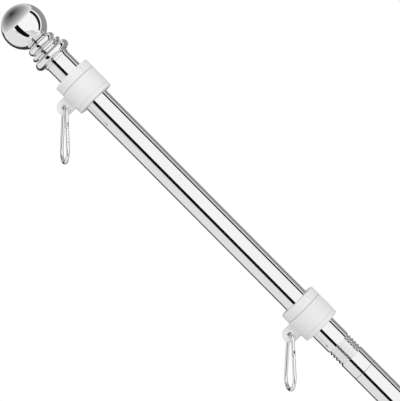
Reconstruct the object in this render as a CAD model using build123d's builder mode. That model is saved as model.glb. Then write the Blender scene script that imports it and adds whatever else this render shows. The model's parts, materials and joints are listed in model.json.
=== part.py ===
"""Flagpole of four screwed steel tubes, with two turning clip rings, clamped in a two-position wall bracket.

The origin is the centre of the flange's back face, on the wall. +Z is up, +X goes into the wall, and the pole
leaves the wall towards -X and +Z. Millimetres throughout.
"""

from build123d import *
from math import cos, radians, sin, sqrt, tan
import os

os.makedirs("parts", exist_ok=True)

# Pole tubes: one-inch steel tube in sections of one length
tube_radius = 12.7
tube_wall = 0.8
section_length = 406.3
section_count = 4
seam_gap = 0.2
tube_edge = 0.3
groove_count = 5
groove_pitch = 3.65
groove_first = 18.8
groove_depth = 1.2

# Screwed joints between the sections
plug_clearance = 0.1
plug_wall_gap = 0.4
stud_radius = 5.0
stud_length = 18.0
stud_edge = 1.0
stud_clearance = 0.1
stud_plug_length = 42.0
socket_plug_length = 24.0
socket_bore_spare = 1.5
butt_plug_length = 12.0
butt_flange = 2.0

# Finial: a hollow ball on a neck of three turned beads, measured up from the top of the tube
ball_radius = 21.5
ball_wall = 1.2
ball_centre_height = 44.3
ball_seat_radius = 6.7
neck_collar_radius = 13.4
neck_collar_height = 2.1
neck_core_radius = 13.0
neck_throat_radius = 8.6
neck_spigot_height = 9.5
large_bead_radius = 19.3
large_bead_round = 4.1
large_bead_height = 7.1
thin_bead_radius = 16.5
thin_bead_round = 1.8
thin_bead_height = 14.6
small_bead_radius = 14.7
small_bead_round = 3.7
small_bead_height = 21.2

# Turning rings: a collar screwed to the pole and a body that turns round its neck on steel balls
ring_radius = 19.6
ring_bore_clearance = 0.25
ring_distances = (18.1, 316.5)
collar_length = 9.1
seam_opening = 0.3
neck_radius = 15.25
neck_length = 7.6
cup_clearance = 1.0
body_length = 23.7
body_bore_clearance = 0.6
ring_round = 0.9
lip_length = 4.8
lip_step = 0.25
bearing_ball_radius = 1.5
bearing_ball_count = 30
bearing_ball_sides = 8
bearing_ball_taper = 40.0
race_clearance = 0.1
race_height = 3.2
ear_hole_reach = 26.1
ear_hole_drop = 18.1
ear_hole_radius = 3.1
ear_radius = 7.6
ear_thickness = 5.0
ear_edge = 0.6
set_screw_radius = 2.5
set_screw_clearance = 0.1
set_screw_drop = 4.7
set_screw_angle = 116.0
set_screw_recess = 0.5
set_screw_hex = 2.5
set_screw_hex_depth = 2.4

# Spring clips: a pear of round wire with a gate in one strand
wire_radius = 1.7
clip_narrow_radius = 6.1
clip_wide_radius = 11.2
clip_centres = 34.6
clip_hang = 0.6
clip_twist = 19.0
gate_start = 15.6
gate_length = 13.1
gate_gap = 0.35
gate_pivot_gap = 1.1
gate_pin_radius = 0.7
gate_pin_clearance = 0.05
gate_fork_width = 1.3
gate_fork_depth = 3.4
gate_fork_run = 4.0
gate_tongue_share = 0.8
gate_tongue_overlap = 1.0

# Wall bracket: flange, flared foot, two sockets joined by a band, and windows through their sides
flange_length = 130.0
flange_width = 80.0
flange_thickness = 4.0
flange_corner_long = 27.0
flange_corner_wide = 22.0
flange_corner_round = 4.0
flange_edge = 0.8
screw_hole_radius = 2.7
screw_spacing_width = 38.0
screw_spacing_length = 100.0
socket_centre_height = -18.0
socket_lean = 45.0
socket_clearance = 0.4
socket_wall = 3.4
level_socket_reach = 86.0
leaning_socket_reach = 124.0
leaning_bore_start = 20.0
butt_gap = 1.0
level_bore_start = 30.0
level_land = 18.0
socket_relief = 0.5
socket_edge = 0.7
band_start = 66.0
band_cheek = 4.0
band_inset = 0.2
foot_top = 28.0
foot_overlap = 4.0
foot_low_radius = 26.0
foot_high_radius = 15.0
foot_high_centre = 22.0
window_edge = 4.0
window_round = 4.0
partition_half_width = 9.0
partition_gap = 0.4
partition_root = 14.0
upper_window_gap = 3.0
upper_window_inset = 18.0
upper_window_drop = 9.0
drain_hole_radius = 1.6
boss_radius = 6.5
boss_height = 4.5
bolt_radius = 3.0
bolt_clearance = 0.1
bolt_tip_gap = 0.3
loose_bolt_gap = 0.5
bolt_stand_off = 3.0
bolt_hub_radius = 5.5
bolt_hub_height = 8.0
wing_span = 25.0
wing_rise = 7.0
wing_thickness = 2.4
wing_round = 3.6
wing_waist_low = 1.0
wing_waist_high = 6.8
hub_edge = 0.8
upper_bolt_inset = 25.0
foot_bolt_distance = 30.5
collar_bolt_inset = 13.0

# Directions and places that follow from the sizes above
lean = radians(socket_lean)
socket_root = Vector(0, 0, socket_centre_height)
pole_direction = Vector(-cos(lean), 0, sin(lean))
ear_direction = Vector(-sin(lean), 0, -cos(lean))
pole_axis = Axis(socket_root, pole_direction)
bore_radius = tube_radius + socket_clearance
socket_radius = bore_radius + socket_wall
tube_bore = tube_radius - tube_wall
plug_radius = tube_bore - plug_clearance
butt_distance = leaning_bore_start + butt_gap
tube_top = butt_distance + section_count * section_length
quarter_pitch = groove_pitch / 4
grooves_start = groove_first - 2 * quarter_pitch
grooves_end = grooves_start + groove_pitch * groove_count
collar_bolt_reach = level_socket_reach - collar_bolt_inset
upper_bolt_distance = leaning_socket_reach - upper_bolt_inset
upper_window_start = level_socket_reach + upper_window_gap
upper_window_end = leaning_socket_reach - upper_window_inset


def along_pole(distance):
    """A plane through the pole's axis: x towards the ring ears, y up the pole, from that distance."""
    return Plane(origin=socket_root + pole_direction * distance, x_dir=ear_direction, z_dir=(0, 1, 0))


def across_pole(distance):
    """A plane square to the pole's axis: x towards the ring ears, y towards -Y."""
    return Plane(origin=socket_root + pole_direction * distance, x_dir=ear_direction, z_dir=pole_direction)


def from_wall(reach):
    """A plane parallel to the wall, with y up, that far out from it."""
    return Plane(origin=(-reach, 0, 0), x_dir=(0, -1, 0), z_dir=(-1, 0, 0))


side = Plane(origin=(0, 0, 0), x_dir=(-1, 0, 0), z_dir=(0, 1, 0))


def lean_point(distance, offset):
    """A point of the side plane, by its distance along the pole's axis and its offset to the wall's side."""
    out = distance * cos(lean) - offset * sin(lean)
    up = socket_centre_height + distance * sin(lean) + offset * cos(lean)
    return (out, up)


def level_point(reach, offset):
    """A point of the side plane, by its reach along the level socket's axis and its height over it."""
    return (reach, socket_centre_height + offset)


# Bracket casting
with BuildPart() as bracket_casting:
    with BuildSketch(from_wall(0)):
        half_width = flange_width / 2
        half_length = flange_length / 2
        with BuildLine():
            Polyline(
                (half_width, half_length - flange_corner_long),
                (half_width - flange_corner_wide, half_length),
                (flange_corner_wide - half_width, half_length),
                (-half_width, half_length - flange_corner_long),
                (-half_width, flange_corner_long - half_length),
                (flange_corner_wide - half_width, -half_length),
                (half_width - flange_corner_wide, -half_length),
                (half_width, flange_corner_long - half_length),
                close=True,
            )
        make_face()
    extrude(amount=flange_thickness)
    fillet(bracket_casting.edges().filter_by(Axis.X), radius=flange_corner_round)
    chamfer(bracket_casting.faces().sort_by(Axis.X)[0].edges(), length=flange_edge)
    # The foot flares from the sockets' roots to a rounded footprint that narrows upwards
    with BuildSketch(from_wall(flange_thickness)):
        with Locations((0, socket_centre_height)):
            Circle(foot_low_radius)
        with Locations((0, foot_high_centre)):
            Circle(foot_high_radius)
        make_hull()
    with BuildSketch(from_wall(foot_top)):
        with Locations((0, socket_centre_height)):
            Circle(socket_radius)
        with Locations((0, socket_centre_height + foot_top)):
            Circle(socket_radius)
        make_hull()
    loft()
    # The band's two cheeks, between the sockets, with ends square to the line midway between their axes
    with BuildSketch(side):
        Polygon(
            level_point(band_start, 0),
            level_point(level_socket_reach, 0),
            lean_point(level_socket_reach, 0),
            lean_point(band_start, 0),
            align=None,
        )
    extrude(amount=socket_radius - band_inset, both=True)
    with BuildSketch(side):
        Polygon(
            level_point(band_start - 1, 0),
            level_point(level_socket_reach + 1, 0),
            lean_point(level_socket_reach + 1, 0),
            lean_point(band_start - 1, 0),
            align=None,
        )
    extrude(amount=socket_radius - band_inset - band_cheek, both=True, mode=Mode.SUBTRACT)
    # The two sockets, with their mouths' edges broken
    with BuildSketch(from_wall(foot_top - foot_overlap)):
        with Locations((0, socket_centre_height)):
            Circle(socket_radius)
    extrude(amount=level_socket_reach - foot_top + foot_overlap)
    with BuildSketch(side):
        Polygon(
            level_point(level_socket_reach, socket_radius - socket_edge),
            level_point(level_socket_reach, socket_radius + socket_edge),
            level_point(level_socket_reach - 2 * socket_edge, socket_radius + socket_edge),
            align=None,
        )
    revolve(axis=Axis(socket_root, (-1, 0, 0)), mode=Mode.SUBTRACT)
    with BuildSketch(across_pole(leaning_bore_start - socket_wall)):
        Circle(socket_radius)
    extrude(amount=leaning_socket_reach - leaning_bore_start + socket_wall)
    leaning_mouth = bracket_casting.faces().sort_by(pole_axis)[-1]
    chamfer(leaning_mouth.edges().filter_by(GeomType.CIRCLE), length=socket_edge)
    # Round bosses for the wing bolts, on the +Y side
    boss_places = (
        lean_point(upper_bolt_distance, 0),
        lean_point(foot_bolt_distance, 0),
        (collar_bolt_reach, socket_centre_height),
    )
    with BuildSketch(side):
        with Locations(*boss_places):
            Circle(boss_radius)
    extrude(amount=socket_radius + boss_height)
    # Bores: the level one is relieved behind the land at its mouth
    with BuildSketch(from_wall(level_bore_start)):
        with Locations((0, socket_centre_height)):
            Circle(bore_radius + socket_relief)
    extrude(amount=level_socket_reach - level_land - level_bore_start, mode=Mode.SUBTRACT)
    with BuildSketch(from_wall(level_bore_start)):
        with Locations((0, socket_centre_height)):
            Circle(bore_radius)
    extrude(amount=level_socket_reach, mode=Mode.SUBTRACT)
    with BuildSketch(across_pole(leaning_bore_start)):
        Circle(bore_radius)
    extrude(amount=leaning_socket_reach, mode=Mode.SUBTRACT)
    # The large window, through both sides, between the foot and the band
    with BuildSketch(side) as window:
        window_skew = window_edge * tan(lean / 2)
        Polygon(
            level_point(foot_top, -window_edge),
            level_point(band_start + window_skew, -window_edge),
            lean_point(band_start + window_skew, window_edge),
            (foot_top, socket_centre_height + foot_top + window_edge / cos(lean)),
            align=None,
        )
        fillet(window.vertices(), radius=window_round)
    extrude(amount=socket_radius * 2, both=True, mode=Mode.SUBTRACT)
    # The smaller window across the leaning socket's underside, between the band and its mouth
    with BuildSketch(side) as upper_window:
        upper_window_deep = upper_window_drop + socket_radius
        Polygon(
            lean_point(upper_window_start - upper_window_drop * tan(lean / 2), -upper_window_drop),
            lean_point(upper_window_end, -upper_window_drop),
            lean_point(upper_window_end, -upper_window_deep),
            lean_point(upper_window_start - upper_window_deep * tan(lean / 2), -upper_window_deep),
            align=None,
        )
        fillet(upper_window.vertices(), radius=window_round)
    extrude(amount=socket_radius * 2, both=True, mode=Mode.SUBTRACT)
    # The recessed partition between the two bores
    with BuildSketch(side):
        partition_outer = -(bore_radius + partition_gap)
        partition_inner = partition_outer - socket_wall
        partition_start = foot_top / cos(lean) - partition_root
        Polygon(
            lean_point(partition_start, partition_outer),
            lean_point(band_start, partition_outer),
            lean_point(band_start, partition_inner),
            lean_point(partition_start, partition_inner),
            align=None,
        )
    extrude(amount=partition_half_width, both=True)
    # A drain hole in the level collar's underside
    with BuildSketch(Plane.XY.offset(socket_centre_height)):
        with Locations((-collar_bolt_reach, 0)):
            Circle(drain_hole_radius)
    extrude(amount=-socket_radius - boss_height, mode=Mode.SUBTRACT)
    # Threaded holes for the wing bolts, and the screw holes of the flange
    with BuildSketch(side):
        with Locations(*boss_places):
            Circle(bolt_radius + bolt_clearance)
    extrude(amount=socket_radius * 2, mode=Mode.SUBTRACT)
    with BuildSketch(from_wall(0)):
        with GridLocations(screw_spacing_width, screw_spacing_length, 2, 2):
            Circle(screw_hole_radius)
    extrude(amount=flange_thickness, mode=Mode.SUBTRACT)
bracket_casting.part.label = "bracket_casting"
export_step(bracket_casting.part, "parts/bracket_casting.step")


# Wing bolts, each with a round hub and two raised wings
def make_wing_bolt(name, place, turn, tip):
    """A wing bolt square to the bracket's side, with its wings turned so far and its tip at that height."""
    out, up = place
    seat = socket_radius + boss_height + bolt_stand_off
    bolt_plane = Plane(origin=(-out, 0, up), x_dir=(-1, 0, 0), z_dir=(0, 1, 0))
    wing_direction = Vector(-cos(radians(turn)), 0, sin(radians(turn)))
    wing_normal = wing_direction.cross(Vector(0, 1, 0))
    wing_plane = Plane(origin=(-out, 0, up), x_dir=wing_direction, z_dir=wing_normal)
    with BuildPart() as wing_bolt:
        with BuildSketch(bolt_plane.offset(tip)):
            Circle(bolt_radius)
        extrude(amount=seat - tip)
        with BuildSketch(bolt_plane.offset(seat)):
            Circle(bolt_hub_radius)
        extrude(amount=bolt_hub_height)
        chamfer(wing_bolt.faces().sort_by(Axis.Y)[-1].edges(), length=hub_edge)
        with BuildSketch(wing_plane):
            wing_tip = wing_span / 2 - wing_round
            Polygon(
                (-wing_tip, seat + wing_rise - wing_round),
                (0, seat + wing_waist_low),
                (wing_tip, seat + wing_rise - wing_round),
                (wing_tip, seat + wing_rise + wing_round),
                (0, seat + wing_waist_high),
                (-wing_tip, seat + wing_rise + wing_round),
                align=None,
            )
            with Locations((-wing_tip, seat + wing_rise), (wing_tip, seat + wing_rise)):
                Circle(wing_round)
        extrude(amount=wing_thickness / 2, both=True)
    wing_bolt.part.label = name
    export_step(wing_bolt.part, f"parts/{name}.step")


make_wing_bolt("wing_bolt_upper", boss_places[0], 20, tube_radius + bolt_tip_gap)
make_wing_bolt("wing_bolt_foot", boss_places[1], -15, tube_radius + bolt_tip_gap)
make_wing_bolt("wing_bolt_collar", boss_places[2], 5, bore_radius + loose_bolt_gap)


# Pole sections, counted from the top, with rolled grooves above each screwed joint
def section_bottom(number):
    """How far along the pole's axis a section starts."""
    return tube_top - number * section_length


for number in range(1, section_count + 1):
    bottom = section_bottom(number)
    grooved = number < section_count
    low = seam_gap / 2 if grooved else 0
    high = section_length - (seam_gap / 2 if number > 1 else 0)
    with BuildPart() as section_tube:
        with BuildSketch(along_pole(bottom)):
            with BuildLine():
                Line((tube_bore, low), (tube_radius - tube_edge, low))
                Line((tube_radius - tube_edge, low), (tube_radius, low + tube_edge))
                outer_height = low + tube_edge
                inner_height = low
                if grooved:
                    Line((tube_radius, outer_height), (tube_radius, grooves_start))
                    Line((tube_bore, inner_height), (tube_bore, grooves_start))
                    outer_height = grooves_end
                    inner_height = grooves_end
                    for crest in (tube_radius, tube_bore):
                        middle = crest - groove_depth / 2
                        floor = crest - groove_depth
                        first_fall = (middle, grooves_start + quarter_pitch)
                        last_rise = (middle, grooves_end - quarter_pitch)
                        TangentArc((crest, grooves_start), first_fall, tangent=(0, 1))
                        for index in range(groove_count):
                            root = groove_first + groove_pitch * index
                            fall = root - quarter_pitch
                            rise = root + quarter_pitch
                            ThreePointArc((middle, fall), (floor, root), (middle, rise))
                            if index < groove_count - 1:
                                land = rise + quarter_pitch
                                next_fall = land + quarter_pitch
                                ThreePointArc((middle, rise), (crest, land), (middle, next_fall))
                        TangentArc((crest, grooves_end), last_rise, tangent=(0, -1))
                Line((tube_radius, outer_height), (tube_radius, high - tube_edge))
                Line((tube_radius, high - tube_edge), (tube_radius - tube_edge, high))
                Line((tube_radius - tube_edge, high), (tube_bore, high))
                Line((tube_bore, inner_height), (tube_bore, high))
            make_face()
        revolve(axis=pole_axis)
    section_tube.part.label = f"section_{number}_tube"
    export_step(section_tube.part, f"parts/section_{number}_tube.step")

# Screwed joints: a stud plug rolled into the section above, and a socket plug in the section below
for number in range(1, section_count):
    seam = section_bottom(number)
    waist = plug_radius - groove_depth
    waist_start = grooves_start - plug_clearance
    waist_end = grooves_end + plug_clearance
    stud_bottom = -stud_length
    with BuildPart() as stud_plug:
        with BuildSketch(along_pole(seam)):
            with BuildLine():
                Polyline(
                    (0, stud_bottom),
                    (stud_radius - stud_edge, stud_bottom),
                    (stud_radius, stud_bottom + stud_edge),
                    (stud_radius, plug_wall_gap),
                    (plug_radius, plug_wall_gap),
                    (plug_radius, waist_start),
                    (waist, waist_start),
                    (waist, waist_end),
                    (plug_radius, waist_end),
                    (plug_radius, stud_plug_length),
                    (0, stud_plug_length),
                    close=True,
                )
            make_face()
        revolve(axis=pole_axis)
    stud_plug.part.label = f"joint_{number}_stud_plug"
    export_step(stud_plug.part, f"parts/joint_{number}_stud_plug.step")


def make_socket_plug(name, top):
    """A plug with a threaded bore for a stud, flush in the top of a section."""
    stud_bore = stud_radius + stud_clearance
    with BuildPart() as socket_plug:
        with BuildSketch(along_pole(top)):
            with BuildLine():
                Polyline(
                    (stud_bore, -plug_wall_gap),
                    (plug_radius, -plug_wall_gap),
                    (plug_radius, -socket_plug_length),
                    (0, -socket_plug_length),
                    (0, -stud_length - socket_bore_spare),
                    (stud_bore, -stud_length - socket_bore_spare),
                    close=True,
                )
            make_face()
        revolve(axis=pole_axis)
    socket_plug.part.label = name
    export_step(socket_plug.part, f"parts/{name}.step")


for number in range(1, section_count):
    make_socket_plug(f"joint_{number}_socket_plug", section_bottom(number))
make_socket_plug("finial_socket_plug", tube_top)

# Butt plug, closing the pole's lower end
with BuildPart() as butt_plug:
    with BuildSketch(along_pole(butt_distance)):
        with BuildLine():
            Polyline(
                (0, -butt_gap / 2),
                (tube_radius - butt_gap, -butt_gap / 2),
                (tube_radius - tube_edge, -plug_clearance),
                (plug_radius, -plug_clearance),
                (plug_radius, butt_plug_length),
                (plug_radius - butt_flange, butt_plug_length),
                (plug_radius - butt_flange, butt_flange),
                (0, butt_flange),
                close=True,
            )
        make_face()
    revolve(axis=pole_axis)
butt_plug.part.label = "butt_plug"
export_step(butt_plug.part, "parts/butt_plug.step")

# Finial neck: three turned beads on a core, with a stud below and a spigot above
seat_height = ball_centre_height - sqrt(ball_radius**2 - (ball_seat_radius + ball_wall) ** 2)
with BuildPart() as finial_neck:
    with BuildSketch(along_pole(tube_top)):
        with BuildLine():
            Polyline(
                (0, -stud_length),
                (stud_radius, -stud_length),
                (stud_radius, plug_clearance),
                (neck_collar_radius, plug_clearance),
                (neck_collar_radius, neck_collar_height),
                (neck_core_radius, large_bead_height - large_bead_round),
                (neck_core_radius, large_bead_height),
                (neck_core_radius, thin_bead_height),
                (small_bead_radius - small_bead_round, small_bead_height),
                (neck_throat_radius, seat_height - plug_clearance),
                (ball_seat_radius - plug_clearance, seat_height - plug_clearance),
                (ball_seat_radius - plug_clearance, seat_height + neck_spigot_height),
                (0, seat_height + neck_spigot_height),
                close=True,
            )
        make_face()
        with Locations((large_bead_radius - large_bead_round, large_bead_height)):
            Circle(large_bead_round)
        with Locations((thin_bead_radius - thin_bead_round, thin_bead_height)):
            Circle(thin_bead_round)
        with Locations((small_bead_radius - small_bead_round, small_bead_height)):
            Circle(small_bead_round)
    revolve(axis=pole_axis)
finial_neck.part.label = "finial_neck"
export_step(finial_neck.part, "parts/finial_neck.step")

# Finial ball, hollow, seated on the neck's throat
with BuildPart() as finial_ball:
    inner_ball = ball_radius - ball_wall
    seat_radius_outer = ball_seat_radius + ball_wall
    inner_height = ball_centre_height - sqrt(inner_ball**2 - ball_seat_radius**2)
    with BuildSketch(along_pole(tube_top)):
        with BuildLine():
            CenterArc((0, ball_centre_height), ball_radius, -90, 180)
            Line((0, ball_centre_height + ball_radius), (0, ball_centre_height - ball_radius))
        make_face()
        with BuildLine():
            CenterArc((0, ball_centre_height), inner_ball, -90, 180)
            Line((0, ball_centre_height + inner_ball), (0, ball_centre_height - inner_ball))
        make_face(mode=Mode.SUBTRACT)
        with Locations((0, seat_height)):
            Rectangle(2 * ball_seat_radius, ball_radius, mode=Mode.SUBTRACT)
        with Locations((0, seat_height)):
            Rectangle(
                4 * ball_radius, ball_radius, align=(Align.CENTER, Align.MAX), mode=Mode.SUBTRACT
            )
    revolve(axis=pole_axis)
finial_ball.part.label = "finial_ball"
export_step(finial_ball.part, "parts/finial_ball.step")

# Turning rings and their spring clips
collar_bore = tube_radius + ring_bore_clearance
cup_radius = neck_radius + cup_clearance
body_bore = tube_radius + body_bore_clearance
pitch_radius = (neck_radius + cup_radius) / 2
race_radius = bearing_ball_radius + race_clearance
body_top = -collar_length - seam_opening
race_drop = -collar_length - race_height


def make_collar(number, top):
    """The collar that is screwed to the pole, whose neck carries the body, and its set screw."""
    with BuildPart() as ring_collar:
        with BuildSketch(along_pole(top)):
            with BuildLine():
                Polyline(
                    (collar_bore, 0),
                    (ring_radius, 0),
                    (ring_radius, -collar_length),
                    (neck_radius, -collar_length),
                    (neck_radius, -collar_length - neck_length),
                    (collar_bore, -collar_length - neck_length),
                    close=True,
                )
            make_face()
            with Locations((pitch_radius, race_drop)):
                Circle(race_radius, mode=Mode.SUBTRACT)
        revolve(axis=pole_axis)
        top_edges = ring_collar.edges().filter_by(GeomType.CIRCLE)
        top_edge = [edge for edge in top_edges if abs(edge.radius - ring_radius) < 0.01]
        fillet(ShapeList(top_edge).sort_by(pole_axis)[-1], radius=ring_round)
        screw_plane = across_pole(top - set_screw_drop)
        angle = radians(set_screw_angle)
        outward = screw_plane.x_dir * cos(angle) + screw_plane.y_dir * sin(angle)
        with BuildSketch(Plane(origin=screw_plane.origin, x_dir=pole_direction, z_dir=outward)):
            Circle(set_screw_radius + set_screw_clearance)
        extrude(amount=ring_radius * 1.2, mode=Mode.SUBTRACT)
    ring_collar.part.label = f"ring_{number}_collar"
    export_step(ring_collar.part, f"parts/ring_{number}_collar.step")

    with BuildPart() as set_screw:
        screw_side = Plane(origin=screw_plane.origin, x_dir=pole_direction, z_dir=outward)
        with BuildSketch(screw_side.offset(tube_radius + set_screw_clearance)):
            Circle(set_screw_radius)
        extrude(amount=ring_radius - set_screw_recess - tube_radius - set_screw_clearance)
        with BuildSketch(screw_side.offset(ring_radius - set_screw_recess)):
            RegularPolygon(set_screw_hex / 2, 6, major_radius=False)
        extrude(amount=-set_screw_hex_depth, mode=Mode.SUBTRACT)
    set_screw.part.label = f"ring_{number}_set_screw"
    export_step(set_screw.part, f"parts/ring_{number}_set_screw.step")


def make_ring_body(number, top):
    """The body that turns round the collar's neck, with an ear for the clip."""
    with BuildPart() as ring_body:
        with BuildSketch(along_pole(top)):
            with BuildLine():
                Polyline(
                    (0, body_top),
                    (ring_radius, body_top),
                    (ring_radius, body_top - body_length + lip_length),
                    (ring_radius - lip_step, body_top - body_length + lip_length),
                    (ring_radius - lip_step, body_top - body_length),
                    (0, body_top - body_length),
                    close=True,
                )
            make_face()
        revolve(axis=pole_axis)
        bottom_edges = ring_body.edges().filter_by(GeomType.CIRCLE).sort_by(pole_axis)
        fillet(bottom_edges[0], radius=ring_round)
        with BuildSketch(along_pole(top)):
            with Locations((ear_hole_reach, -ear_hole_drop)):
                Circle(ear_radius)
            with Locations((ear_hole_reach, -ear_hole_drop)):
                Rectangle(
                    ear_hole_reach - neck_radius,
                    2 * ear_radius,
                    align=(Align.MAX, Align.CENTER),
                )
        extrude(amount=ear_thickness / 2, both=True)
        ear_faces = ring_body.faces().filter_by(Axis.Y)
        ear_rims = [edge for edge in ear_faces.edges().filter_by(GeomType.CIRCLE)]
        chamfer([edge for edge in ear_rims if abs(edge.radius - ear_radius) < seam_opening], length=ear_edge)
        with BuildSketch(along_pole(top)):
            with Locations((ear_hole_reach, -ear_hole_drop)):
                Circle(ear_hole_radius)
        extrude(amount=ear_thickness, both=True, mode=Mode.SUBTRACT)
        with BuildSketch(along_pole(top)):
            with BuildLine():
                Polyline(
                    (0, body_top + seam_opening),
                    (cup_radius, body_top + seam_opening),
                    (cup_radius, -collar_length - neck_length - seam_opening),
                    (body_bore, -collar_length - neck_length - seam_opening),
                    (body_bore, body_top - body_length - seam_opening),
                    (0, body_top - body_length - seam_opening),
                    close=True,
                )
            make_face()
            with Locations((pitch_radius, race_drop)):
                Circle(race_radius)
        revolve(axis=pole_axis, mode=Mode.SUBTRACT)
    ring_body.part.label = f"ring_{number}_body"
    export_step(ring_body.part, f"parts/ring_{number}_body.step")


def make_bearing_balls(number, top):
    """A ring of bearing balls, each an eight-sided bead, sealed inside the ring."""
    race_plane = across_pole(top + race_drop)
    half_side = radians(180 / bearing_ball_sides)
    half = bearing_ball_radius * sin(half_side)
    cap = bearing_ball_radius * cos(half_side) - half
    with BuildPart() as balls:
        with BuildSketch(race_plane):
            with PolarLocations(pitch_radius, bearing_ball_count):
                RegularPolygon(bearing_ball_radius, bearing_ball_sides)
        extrude(amount=half, both=True)
        for direction in (1, -1):
            with BuildSketch(race_plane.offset(direction * half)):
                with PolarLocations(pitch_radius, bearing_ball_count):
                    RegularPolygon(bearing_ball_radius, bearing_ball_sides)
            extrude(amount=direction * cap, taper=bearing_ball_taper)
    balls.part.label = f"ring_{number}_balls"
    export_step(balls.part, f"parts/ring_{number}_balls.step")


def make_clip(number, top):
    """A spring clip that hangs straight down from the ear: its wire, its gate and the gate's pin."""
    hole = along_pole(top).from_local_coords((ear_hole_reach, -ear_hole_drop, 0))
    twist = radians(clip_twist)
    across = Vector(sin(twist), -cos(twist), 0)
    normal = Vector(cos(twist), sin(twist), 0)
    clip_plane = Plane(origin=hole, x_dir=across, z_dir=normal)
    narrow_centre = clip_narrow_radius - clip_hang
    wide_centre = narrow_centre + clip_centres
    tilt = (clip_wide_radius - clip_narrow_radius) / clip_centres
    level = sqrt(1 - tilt**2)
    strand_top = Vector(clip_narrow_radius * level, narrow_centre - clip_narrow_radius * tilt)
    strand_end = Vector(clip_wide_radius * level, wide_centre - clip_wide_radius * tilt)
    strand = (strand_end - strand_top).normalized()
    inward = Vector(-strand.Y, strand.X)
    gate_top = strand_top + strand * gate_start
    gate_end = gate_top + strand * gate_length
    with BuildPart() as clip_body:
        with BuildLine(clip_plane) as wire:
            lower_right = (strand_end.X, strand_end.Y)
            lower_left = (-strand_end.X, strand_end.Y)
            upper_left = (-strand_top.X, strand_top.Y)
            upper_right = (strand_top.X, strand_top.Y)
            Line((gate_end.X, gate_end.Y), lower_right)
            ThreePointArc(lower_right, (0, wide_centre + clip_wide_radius), lower_left)
            Line(lower_left, upper_left)
            ThreePointArc(upper_left, (0, narrow_centre - clip_narrow_radius), upper_right)
            Line(upper_right, (gate_top.X, gate_top.Y))
        with BuildSketch(Plane(origin=wire.wires()[0] @ 0, z_dir=wire.wires()[0] % 0)):
            Circle(wire_radius)
        sweep(path=wire.wires()[0])
        # The fork that holds the gate's tongue and the hole for the gate pin
        pin = gate_top - strand * (gate_fork_depth / 2)
        pin_place = clip_plane.from_local_coords((pin.X, pin.Y, 0))
        strand_3d = clip_plane.from_local_coords((strand.X, strand.Y, 0)) - clip_plane.origin
        pin_plane = Plane(origin=pin_place, x_dir=strand_3d, z_dir=normal)
        with BuildSketch(pin_plane):
            Rectangle(gate_fork_depth + gate_fork_run, 4 * wire_radius)
        extrude(amount=gate_fork_width / 2 + gate_gap / 2, both=True, mode=Mode.SUBTRACT)
        with BuildSketch(pin_plane):
            Circle(gate_pin_radius + gate_pin_clearance)
        extrude(amount=2 * wire_radius, both=True, mode=Mode.SUBTRACT)
    clip_body.part.label = f"clip_{number}_body"
    export_step(clip_body.part, f"parts/clip_{number}_body.step")

    with BuildPart() as clip_gate:
        gate_start_place = clip_plane.from_local_coords((gate_top.X, gate_top.Y, 0))
        with BuildSketch(Plane(origin=gate_start_place, z_dir=strand_3d).offset(gate_pivot_gap)):
            Circle(wire_radius)
        extrude(amount=gate_length - gate_pivot_gap - gate_gap)
        with BuildSketch(pin_plane):
            tongue = gate_fork_depth / 2 + gate_pivot_gap + gate_tongue_overlap
            with Locations((tongue / 2, 0)):
                Rectangle(tongue, 2 * wire_radius * gate_tongue_share)
            Circle(wire_radius * gate_tongue_share)
        extrude(amount=gate_fork_width / 2, both=True)
        with BuildSketch(pin_plane):
            Circle(gate_pin_radius + gate_pin_clearance)
        extrude(amount=2 * wire_radius, both=True, mode=Mode.SUBTRACT)
    clip_gate.part.label = f"clip_{number}_gate"
    export_step(clip_gate.part, f"parts/clip_{number}_gate.step")

    with BuildPart() as clip_pin:
        with BuildSketch(pin_plane):
            Circle(gate_pin_radius)
        extrude(amount=wire_radius, both=True)
    clip_pin.part.label = f"clip_{number}_pin"
    export_step(clip_pin.part, f"parts/clip_{number}_pin.step")


for number, distance in enumerate(ring_distances, start=1):
    ring_top = tube_top - distance
    make_collar(number, ring_top)
    make_ring_body(number, ring_top)
    make_bearing_balls(number, ring_top)
    make_clip(number, ring_top)
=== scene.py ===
"""Dresses the wall-mounted flagpole: polished tube, chromed ball, white rings and plated clips."""

import json
from math import cos, pi, radians, sin

import bmesh
import bpy
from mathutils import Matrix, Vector


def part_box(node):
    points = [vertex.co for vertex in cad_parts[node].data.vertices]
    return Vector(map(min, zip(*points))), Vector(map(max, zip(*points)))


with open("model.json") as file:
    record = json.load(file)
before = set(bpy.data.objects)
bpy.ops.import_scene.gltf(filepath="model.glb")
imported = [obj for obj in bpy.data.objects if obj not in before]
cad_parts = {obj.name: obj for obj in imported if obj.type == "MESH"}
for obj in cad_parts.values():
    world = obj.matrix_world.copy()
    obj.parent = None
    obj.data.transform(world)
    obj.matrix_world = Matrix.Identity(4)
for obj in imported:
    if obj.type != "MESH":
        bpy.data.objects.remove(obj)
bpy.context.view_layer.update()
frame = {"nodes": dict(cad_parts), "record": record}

mm = 0.001

# The pole's own directions: along it towards the ball, and square to it in the picture.
lean = radians(45)
pole_root = Vector((0, 0, -18 * mm))
pole_direction = Vector((-cos(lean), 0, sin(lean)))
upper_right = Vector((sin(lean), 0, cos(lean)))
ball_low, ball_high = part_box("finial_ball")
ball_radius = (ball_high.y - ball_low.y) / 2
ball_centre = Vector((ball_low.x + ball_radius, 0, ball_high.z - ball_radius))

# The picture, square to the plane of the pole
picture_middle = ball_centre + Vector((164.7, 0, -161.6)) * mm
picture_width = 373.2 * mm
camera_distance = 1.81
camera_place = picture_middle + Vector((0, -camera_distance, 0))
camera_roll = radians(0.18)


# Small helpers


def colour(code):
    """A paint chart's hex code as the linear colour that Blender mixes."""
    parts = [int(code[place:place + 2], 16) / 255 for place in (1, 3, 5)]
    return (*(part / 12.92 if part <= 0.04045 else ((part + 0.055) / 1.055) ** 2.4 for part in parts), 1)


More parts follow.
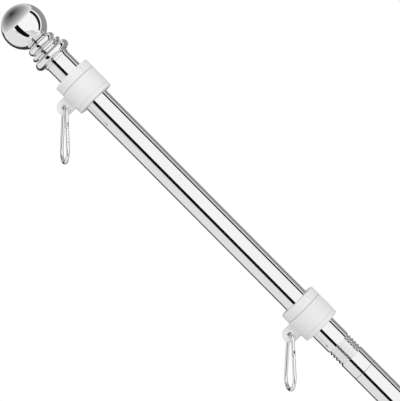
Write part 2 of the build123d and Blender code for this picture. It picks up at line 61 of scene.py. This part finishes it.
def add(tree, kind, inputs=None, **settings):
    """One node with its settings. An input is a value, or the socket that it is linked from."""
    made = tree.nodes.new(kind)
    for name, value in settings.items():
        setattr(made, name, value)
    for name, value in (inputs or {}).items():
        if isinstance(value, bpy.types.NodeSocket):
            tree.links.new(value, made.inputs[name])
        else:
            made.inputs[name].default_value = value
    return made


def new_material(name):
    """An empty material and its node tree."""
    made = bpy.data.materials.new(name)
    made.use_nodes = True
    made.node_tree.nodes.clear()
    return made, made.node_tree


def surface(tree, shader):
    """Sends a shader to the material's surface."""
    add(tree, "ShaderNodeOutputMaterial", {"Surface": shader})


# Materials


def pole_coordinates(tree, stretch=(1, 1, 1)):
    """Object coordinates turned so that z runs up the pole, and x square to it in the picture."""
    place = add(tree, "ShaderNodeTexCoord")
    turned = add(tree, "ShaderNodeMapping", {
        "Vector": place.outputs["Object"],
        "Rotation": (0, lean, 0),
        "Location": (-pole_root.dot(upper_right), 0, -pole_root.dot(pole_direction)),
    })
    stretched = add(tree, "ShaderNodeVectorMath", {
        0: turned.outputs["Vector"], 1: stretch}, operation="MULTIPLY")
    return stretched.outputs["Vector"]


def polished_steel():
    """Stainless tube, belt ground and mirror buffed: the eye gets crisp bands with a faint haze in rings."""
    made, tree = new_material("mirror_polished_stainless_tube")
    buff_spacing = 1.5 * mm
    cloud_size = 40 * mm
    rings = add(tree, "ShaderNodeTexNoise", {
        "Vector": pole_coordinates(tree, (0.05, 0.05, 1)), "Scale": 1 / buff_spacing, "Detail": 3})
    clouds = add(tree, "ShaderNodeTexNoise", {
        "Vector": pole_coordinates(tree), "Scale": 1 / cloud_size, "Detail": 4})
    haze = add(tree, "ShaderNodeMath", {
        0: rings.outputs["Fac"], 1: clouds.outputs["Fac"]}, operation="MULTIPLY")
    rough = add(tree, "ShaderNodeMapRange", {
        "Value": haze.outputs["Value"], "From Min": 0.1, "From Max": 0.5, "To Min": 0.025, "To Max": 0.06})
    tint = add(tree, "ShaderNodeMix", {
        "Factor": clouds.outputs["Fac"], "A": colour("#EFF0F0"), "B": colour("#F6F6F5")}, data_type="RGBA")
    bump = add(tree, "ShaderNodeBump", {
        "Height": rings.outputs["Fac"], "Strength": 0.02, "Distance": 0.02 * mm})
    shader = add(tree, "ShaderNodeBsdfPrincipled", {
        "Base Color": tint.outputs["Result"], "Metallic": 1, "Roughness": rough.outputs["Result"],
        "Normal": bump.outputs["Normal"]})
    surface(tree, shader.outputs["BSDF"])
    return made


def chromed_steel():
    """Spun steel under bright chrome: near mirror, with a slight cloud where the plating is thin."""
    made, tree = new_material("bright_chrome_on_spun_steel")
    cloud_size = 12 * mm
    place = add(tree, "ShaderNodeTexCoord")
    clouds = add(tree, "ShaderNodeTexNoise", {
        "Vector": place.outputs["Object"], "Scale": 1 / cloud_size, "Detail": 5, "Roughness": 0.6})
    rough = add(tree, "ShaderNodeMapRange", {
        "Value": clouds.outputs["Fac"], "From Min": 0.3, "From Max": 0.7, "To Min": 0.02, "To Max": 0.05})
    tint = add(tree, "ShaderNodeMix", {
        "Factor": clouds.outputs["Fac"], "A": colour("#F2F3F4"), "B": colour("#F7F7F7")}, data_type="RGBA")
    bump = add(tree, "ShaderNodeBump", {
        "Height": clouds.outputs["Fac"], "Strength": 0.03, "Distance": 0.05 * mm})
    shader = add(tree, "ShaderNodeBsdfPrincipled", {
        "Base Color": tint.outputs["Result"], "Metallic": 1, "Roughness": rough.outputs["Result"],
        "Normal": bump.outputs["Normal"]})
    surface(tree, shader.outputs["BSDF"])
    return made


def white_plastic():
    """Moulded acetal, white: a satin skin with a fine eggshell grain and a trace of light under it."""
    made, tree = new_material("white_moulded_acetal")
    grain_size = 0.9 * mm
    flow_size = 14 * mm
    place = add(tree, "ShaderNodeTexCoord")
    grain = add(tree, "ShaderNodeTexNoise", {
        "Vector": place.outputs["Object"], "Scale": 1 / grain_size, "Detail": 2})
    flow = add(tree, "ShaderNodeTexNoise", {
        "Vector": place.outputs["Object"], "Scale": 1 / flow_size, "Detail": 3})
    tint = add(tree, "ShaderNodeMix", {
        "Factor": flow.outputs["Fac"], "A": colour("#DFDFDE"), "B": colour("#E6E6E6")}, data_type="RGBA")
    rough = add(tree, "ShaderNodeMapRange", {
        "Value": grain.outputs["Fac"], "From Min": 0.3, "From Max": 0.7, "To Min": 0.40, "To Max": 0.50})
    edges = add(tree, "ShaderNodeBevel", {"Radius": 0.4 * mm}, samples=6)
    bump = add(tree, "ShaderNodeBump", {
        "Height": grain.outputs["Fac"], "Strength": 0.06, "Distance": 0.06 * mm,
        "Normal": edges.outputs["Normal"]})
    shader = add(tree, "ShaderNodeBsdfPrincipled", {
        "Base Color": tint.outputs["Result"], "Roughness": rough.outputs["Result"], "IOR": 1.48,
        "Subsurface Weight": 0.08, "Subsurface Radius": (1, 1, 1), "Subsurface Scale": 0.6 * mm,
        "Normal": bump.outputs["Normal"]})
    surface(tree, shader.outputs["BSDF"])
    return made


def plated_steel():
    """Drawn wire and small castings under bright nickel: soft highlights, and marks too fine to count."""
    made, tree = new_material("bright_nickel_plated_steel")
    mark_size = 0.8 * mm
    place = add(tree, "ShaderNodeTexCoord")
    marks = add(tree, "ShaderNodeTexNoise", {
        "Vector": place.outputs["Object"], "Scale": 1 / mark_size, "Detail": 3})
    rough = add(tree, "ShaderNodeMapRange", {
        "Value": marks.outputs["Fac"], "From Min": 0.3, "From Max": 0.7, "To Min": 0.05, "To Max": 0.09})
    tint = add(tree, "ShaderNodeMix", {
        "Factor": marks.outputs["Fac"], "A": colour("#F0F0F0"), "B": colour("#F8F8F8")}, data_type="RGBA")
    bump = add(tree, "ShaderNodeBump", {
        "Height": marks.outputs["Fac"], "Strength": 0.02, "Distance": 0.05 * mm})
    shader = add(tree, "ShaderNodeBsdfPrincipled", {
        "Base Color": tint.outputs["Result"], "Metallic": 1, "Roughness": rough.outputs["Result"],
        "Normal": bump.outputs["Normal"]})
    surface(tree, shader.outputs["BSDF"])
    return made


def cast_aluminium():
    """Die cast aluminium, tumbled in stone: a soft silver with a fine pebbled skin and darker flow marks."""
    made, tree = new_material("tumbled_die_cast_aluminium")
    pebble_size = 1.1 * mm
    flow_size = 22 * mm
    place = add(tree, "ShaderNodeTexCoord")
    pebbles = add(tree, "ShaderNodeTexVoronoi", {
        "Vector": place.outputs["Object"], "Scale": 1 / pebble_size}, feature="SMOOTH_F1")
    flow = add(tree, "ShaderNodeTexNoise", {
        "Vector": place.outputs["Object"], "Scale": 1 / flow_size, "Detail": 5})
    tint = add(tree, "ShaderNodeMix", {
        "Factor": flow.outputs["Fac"], "A": colour("#BFC0C1"), "B": colour("#D3D4D4")}, data_type="RGBA")
    rough = add(tree, "ShaderNodeMapRange", {
        "Value": flow.outputs["Fac"], "From Min": 0.3, "From Max": 0.7, "To Min": 0.34, "To Max": 0.46})
    edges = add(tree, "ShaderNodeBevel", {"Radius": 0.8 * mm}, samples=6)
    bump = add(tree, "ShaderNodeBump", {
        "Height": pebbles.outputs["Distance"], "Strength": 0.18, "Distance": 0.08 * mm,
        "Normal": edges.outputs["Normal"]})
    shader = add(tree, "ShaderNodeBsdfPrincipled", {
        "Base Color": tint.outputs["Result"], "Metallic": 1, "Roughness": rough.outputs["Result"],
        "Normal": bump.outputs["Normal"]})
    surface(tree, shader.outputs["BSDF"])
    return made


def turned_aluminium():
    """Bar turned on a lathe: plain grey metal with tool rings round the pole's axis."""
    made, tree = new_material("lathe_turned_aluminium")
    feed = 0.4 * mm
    rings = add(tree, "ShaderNodeTexNoise", {
        "Vector": pole_coordinates(tree, (0.04, 0.04, 1)), "Scale": 1 / feed, "Detail": 1})
    rough = add(tree, "ShaderNodeMapRange", {
        "Value": rings.outputs["Fac"], "From Min": 0.3, "From Max": 0.7, "To Min": 0.22, "To Max": 0.34})
    tint = add(tree, "ShaderNodeMix", {
        "Factor": rings.outputs["Fac"], "A": colour("#BDBEC0"), "B": colour("#CFD0D1")}, data_type="RGBA")
    bump = add(tree, "ShaderNodeBump", {
        "Height": rings.outputs["Fac"], "Strength": 0.2, "Distance": 0.03 * mm})
    shader = add(tree, "ShaderNodeBsdfPrincipled", {
        "Base Color": tint.outputs["Result"], "Metallic": 1, "Roughness": rough.outputs["Result"],
        "Normal": bump.outputs["Normal"]})
    surface(tree, shader.outputs["BSDF"])
    return made


def bearing_steel():
    """Lapped chrome steel balls: dark mirror with a film of grease that dulls them in patches."""
    made, tree = new_material("lapped_bearing_steel")
    film_size = 2.5 * mm
    place = add(tree, "ShaderNodeTexCoord")
    film = add(tree, "ShaderNodeTexNoise", {
        "Vector": place.outputs["Object"], "Scale": 1 / film_size, "Detail": 2})
    rough = add(tree, "ShaderNodeMapRange", {
        "Value": film.outputs["Fac"], "From Min": 0.4, "From Max": 0.7, "To Min": 0.05, "To Max": 0.25})
    tint = add(tree, "ShaderNodeMix", {
        "Factor": film.outputs["Fac"], "A": colour("#C9C9CA"), "B": colour("#DADADA")}, data_type="RGBA")
    shader = add(tree, "ShaderNodeBsdfPrincipled", {
        "Base Color": tint.outputs["Result"], "Metallic": 1, "Roughness": rough.outputs["Result"]})
    surface(tree, shader.outputs["BSDF"])
    return made


def black_plastic():
    """Moulded polyethylene plug: soft black, with a spark eroded grain that scatters the light."""
    made, tree = new_material("black_moulded_polyethylene")
    grain_size = 0.7 * mm
    place = add(tree, "ShaderNodeTexCoord")
    grain = add(tree, "ShaderNodeTexNoise", {
        "Vector": place.outputs["Object"], "Scale": 1 / grain_size, "Detail": 3})
    rough = add(tree, "ShaderNodeMapRange", {
        "Value": grain.outputs["Fac"], "From Min": 0.3, "From Max": 0.7, "To Min": 0.45, "To Max": 0.6})
    tint = add(tree, "ShaderNodeMix", {
        "Factor": grain.outputs["Fac"], "A": colour("#161616"), "B": colour("#222222")}, data_type="RGBA")
    bump = add(tree, "ShaderNodeBump", {
        "Height": grain.outputs["Fac"], "Strength": 0.3, "Distance": 0.05 * mm})
    shader = add(tree, "ShaderNodeBsdfPrincipled", {
        "Base Color": tint.outputs["Result"], "Roughness": rough.outputs["Result"], "IOR": 1.51,
        "Normal": bump.outputs["Normal"]})
    surface(tree, shader.outputs["BSDF"])
    return made


finishes = {
    "polished_steel": polished_steel(),
    "chromed_steel": chromed_steel(),
    "white_plastic": white_plastic(),
    "plated_steel": plated_steel(),
    "bearing_steel": bearing_steel(),
    "cast_aluminium": cast_aluminium(),
    "insert_aluminium": turned_aluminium(),
    "black_plastic": black_plastic(),
}

for subpart in frame["record"]["subparts"]:
    node_mesh = frame["nodes"][subpart["node"]].data
    node_mesh.materials.clear()
    node_mesh.materials.append(finishes[subpart["material_slot"]])


# The studio: plain curved cards that run along the pole, for the metal to mirror. They stand 0.9 m from
# its axis, and reach from 0.4 m beyond the ball's centre to 1.5 m down the pole.

card_distance = 0.9
card_rise = 0.4
card_reach = 1.5


def make_card(name, first, last, shine):
    """A long curved card between two angles in degrees round the pole, with 0 at the camera's side."""
    out = Vector((0, -cos(radians(first)), 0)) + upper_right * sin(radians(first))
    ends = [ball_centre - pole_direction * along + out * card_distance for along in (-card_rise, card_reach)]
    turn_card(name, ends, radians(last - first), shine)


def turn_card(name, ends, angle, shine, soft=False):
    """Turns a straight side round the pole's axis into a lit card that only metal and glass see.

    A soft card is darkest at its first end, and fades to white towards its edge.
    """
    shape = bmesh.new()
    corners = [shape.verts.new(end) for end in ends]
    side = shape.edges.new(corners)
    bmesh.ops.spin(shape, geom=[*corners, side], cent=ball_centre, axis=pole_direction, angle=angle,
                   steps=24, use_duplicate=False)
    bmesh.ops.remove_doubles(shape, verts=shape.verts, dist=0.01 * mm)
    mesh = bpy.data.meshes.new(name)
    shape.to_mesh(mesh)
    shape.free()
    made = bpy.data.objects.new(name, mesh)
    bpy.context.scene.collection.objects.link(made)
    finish, tree = new_material(name)
    if soft:
        place = add(tree, "ShaderNodeTexCoord")
        off = add(tree, "ShaderNodeVectorMath", {
            0: place.outputs["Object"], 1: ends[0]}, operation="DISTANCE")
        fade = add(tree, "ShaderNodeMapRange", {
            "Value": off.outputs["Value"], "From Max": card_distance, "To Min": shine, "To Max": 0.9})
        lit = add(tree, "ShaderNodeCombineXYZ", {axis: fade.outputs["Result"] for axis in "XYZ"})
        glow = add(tree, "ShaderNodeEmission", {"Color": lit.outputs["Vector"], "Strength": 1})
    else:
        glow = add(tree, "ShaderNodeEmission", {"Color": (shine, shine, shine, 1), "Strength": 1})
    surface(tree, glow.outputs["Emission"])
    finish.cycles.emission_sampling = "NONE"
    mesh.materials.append(finish)
    made.visible_camera = False
    made.visible_diffuse = False
    made.visible_shadow = False


make_card("black_felt_card_left", -40, -16, 0.004)
make_card("black_felt_card_right", 78, 96, 0.01)
make_card("white_card", -124, -48, 0.82)
make_card("grey_card", 106, 180, 0.3)
make_card("charcoal_card", 180, 228, 0.04)
beyond_ball = ball_centre + pole_direction * card_rise
turn_card("faded_end_card", [beyond_ball, beyond_ball + upper_right * card_distance], 2 * pi, 0.02,
          soft=True)


# Floor, room and lamps


def make_floor():
    """A pale painted floor below the bracket."""
    shape = bmesh.new()
    bmesh.ops.create_grid(shape, x_segments=1, y_segments=1, size=3)
    bmesh.ops.translate(shape, vec=(-0.6, 0, -0.35), verts=shape.verts)
    mesh = bpy.data.meshes.new("floor")
    shape.to_mesh(mesh)
    shape.free()
    made = bpy.data.objects.new("floor", mesh)
    bpy.context.scene.collection.objects.link(made)
    finish, tree = new_material("pale_matt_floor_paint")
    place = add(tree, "ShaderNodeTexCoord")
    mottle = add(tree, "ShaderNodeTexNoise", {
        "Vector": place.outputs["Object"], "Scale": 1 / 0.2, "Detail": 4})
    tint = add(tree, "ShaderNodeMix", {
        "Factor": mottle.outputs["Fac"], "A": colour("#F0F0EF"), "B": colour("#F4F4F4")}, data_type="RGBA")
    shader = add(tree, "ShaderNodeBsdfPrincipled", {"Base Color": tint.outputs["Result"], "Roughness": 0.7})
    surface(tree, shader.outputs["BSDF"])
    mesh.materials.append(finish)


def make_room():
    """A white room to the camera, metal and glass, that lights the rest evenly at a lower level."""
    world = bpy.data.worlds.new("white_room")
    bpy.context.scene.world = world
    world.use_nodes = True
    tree = world.node_tree
    tree.nodes.clear()
    rays = add(tree, "ShaderNodeLightPath")
    mirrored = add(tree, "ShaderNodeMath", {
        0: rays.outputs["Is Glossy Ray"], 1: rays.outputs["Is Transmission Ray"]}, operation="MAXIMUM")
    seen = add(tree, "ShaderNodeMath", {
        0: rays.outputs["Is Camera Ray"], 1: mirrored.outputs["Value"]}, operation="MAXIMUM")
    level = add(tree, "ShaderNodeMix", {
        "Factor": seen.outputs["Value"], "A": (0.62, 0.62, 0.62, 1), "B": (1, 1, 1, 1)}, data_type="RGBA")
    glow = add(tree, "ShaderNodeBackground", {"Color": level.outputs["Result"], "Strength": 1})
    add(tree, "ShaderNodeOutputWorld", {"Surface": glow.outputs["Background"]})


def make_lamp(name, watts, width, place, aim):
    """A square soft lamp. In the metal the white room stands for it."""
    lamp = bpy.data.lights.new(name, "AREA")
    lamp.energy = watts
    lamp.size = width
    made = bpy.data.objects.new(name, lamp)
    bpy.context.scene.collection.objects.link(made)
    made.location = place
    made.rotation_euler = (aim - place).to_track_quat("-Z", "Y").to_euler()
    made.visible_glossy = False


make_floor()
make_room()
make_lamp("key_lamp", 26, 1.6, picture_middle + Vector((0.9, -1.8, 1.5)), picture_middle)
make_lamp("fill_lamp", 14, 1.6, picture_middle + Vector((-1.6, -1.4, 0.4)), picture_middle)


# The camera

camera_data = bpy.data.cameras.new("camera")
camera_data.sensor_fit = "HORIZONTAL"
camera_data.sensor_width = 36
camera_data.lens = camera_data.sensor_width * camera_distance / picture_width
camera = bpy.data.objects.new("camera", camera_data)
bpy.context.scene.collection.objects.link(camera)
camera.location = camera_place
camera.rotation_euler = (pi / 2, -camera_roll, 0)
bpy.context.scene.camera = camera
bpy.context.scene.view_settings.view_transform = "Standard"
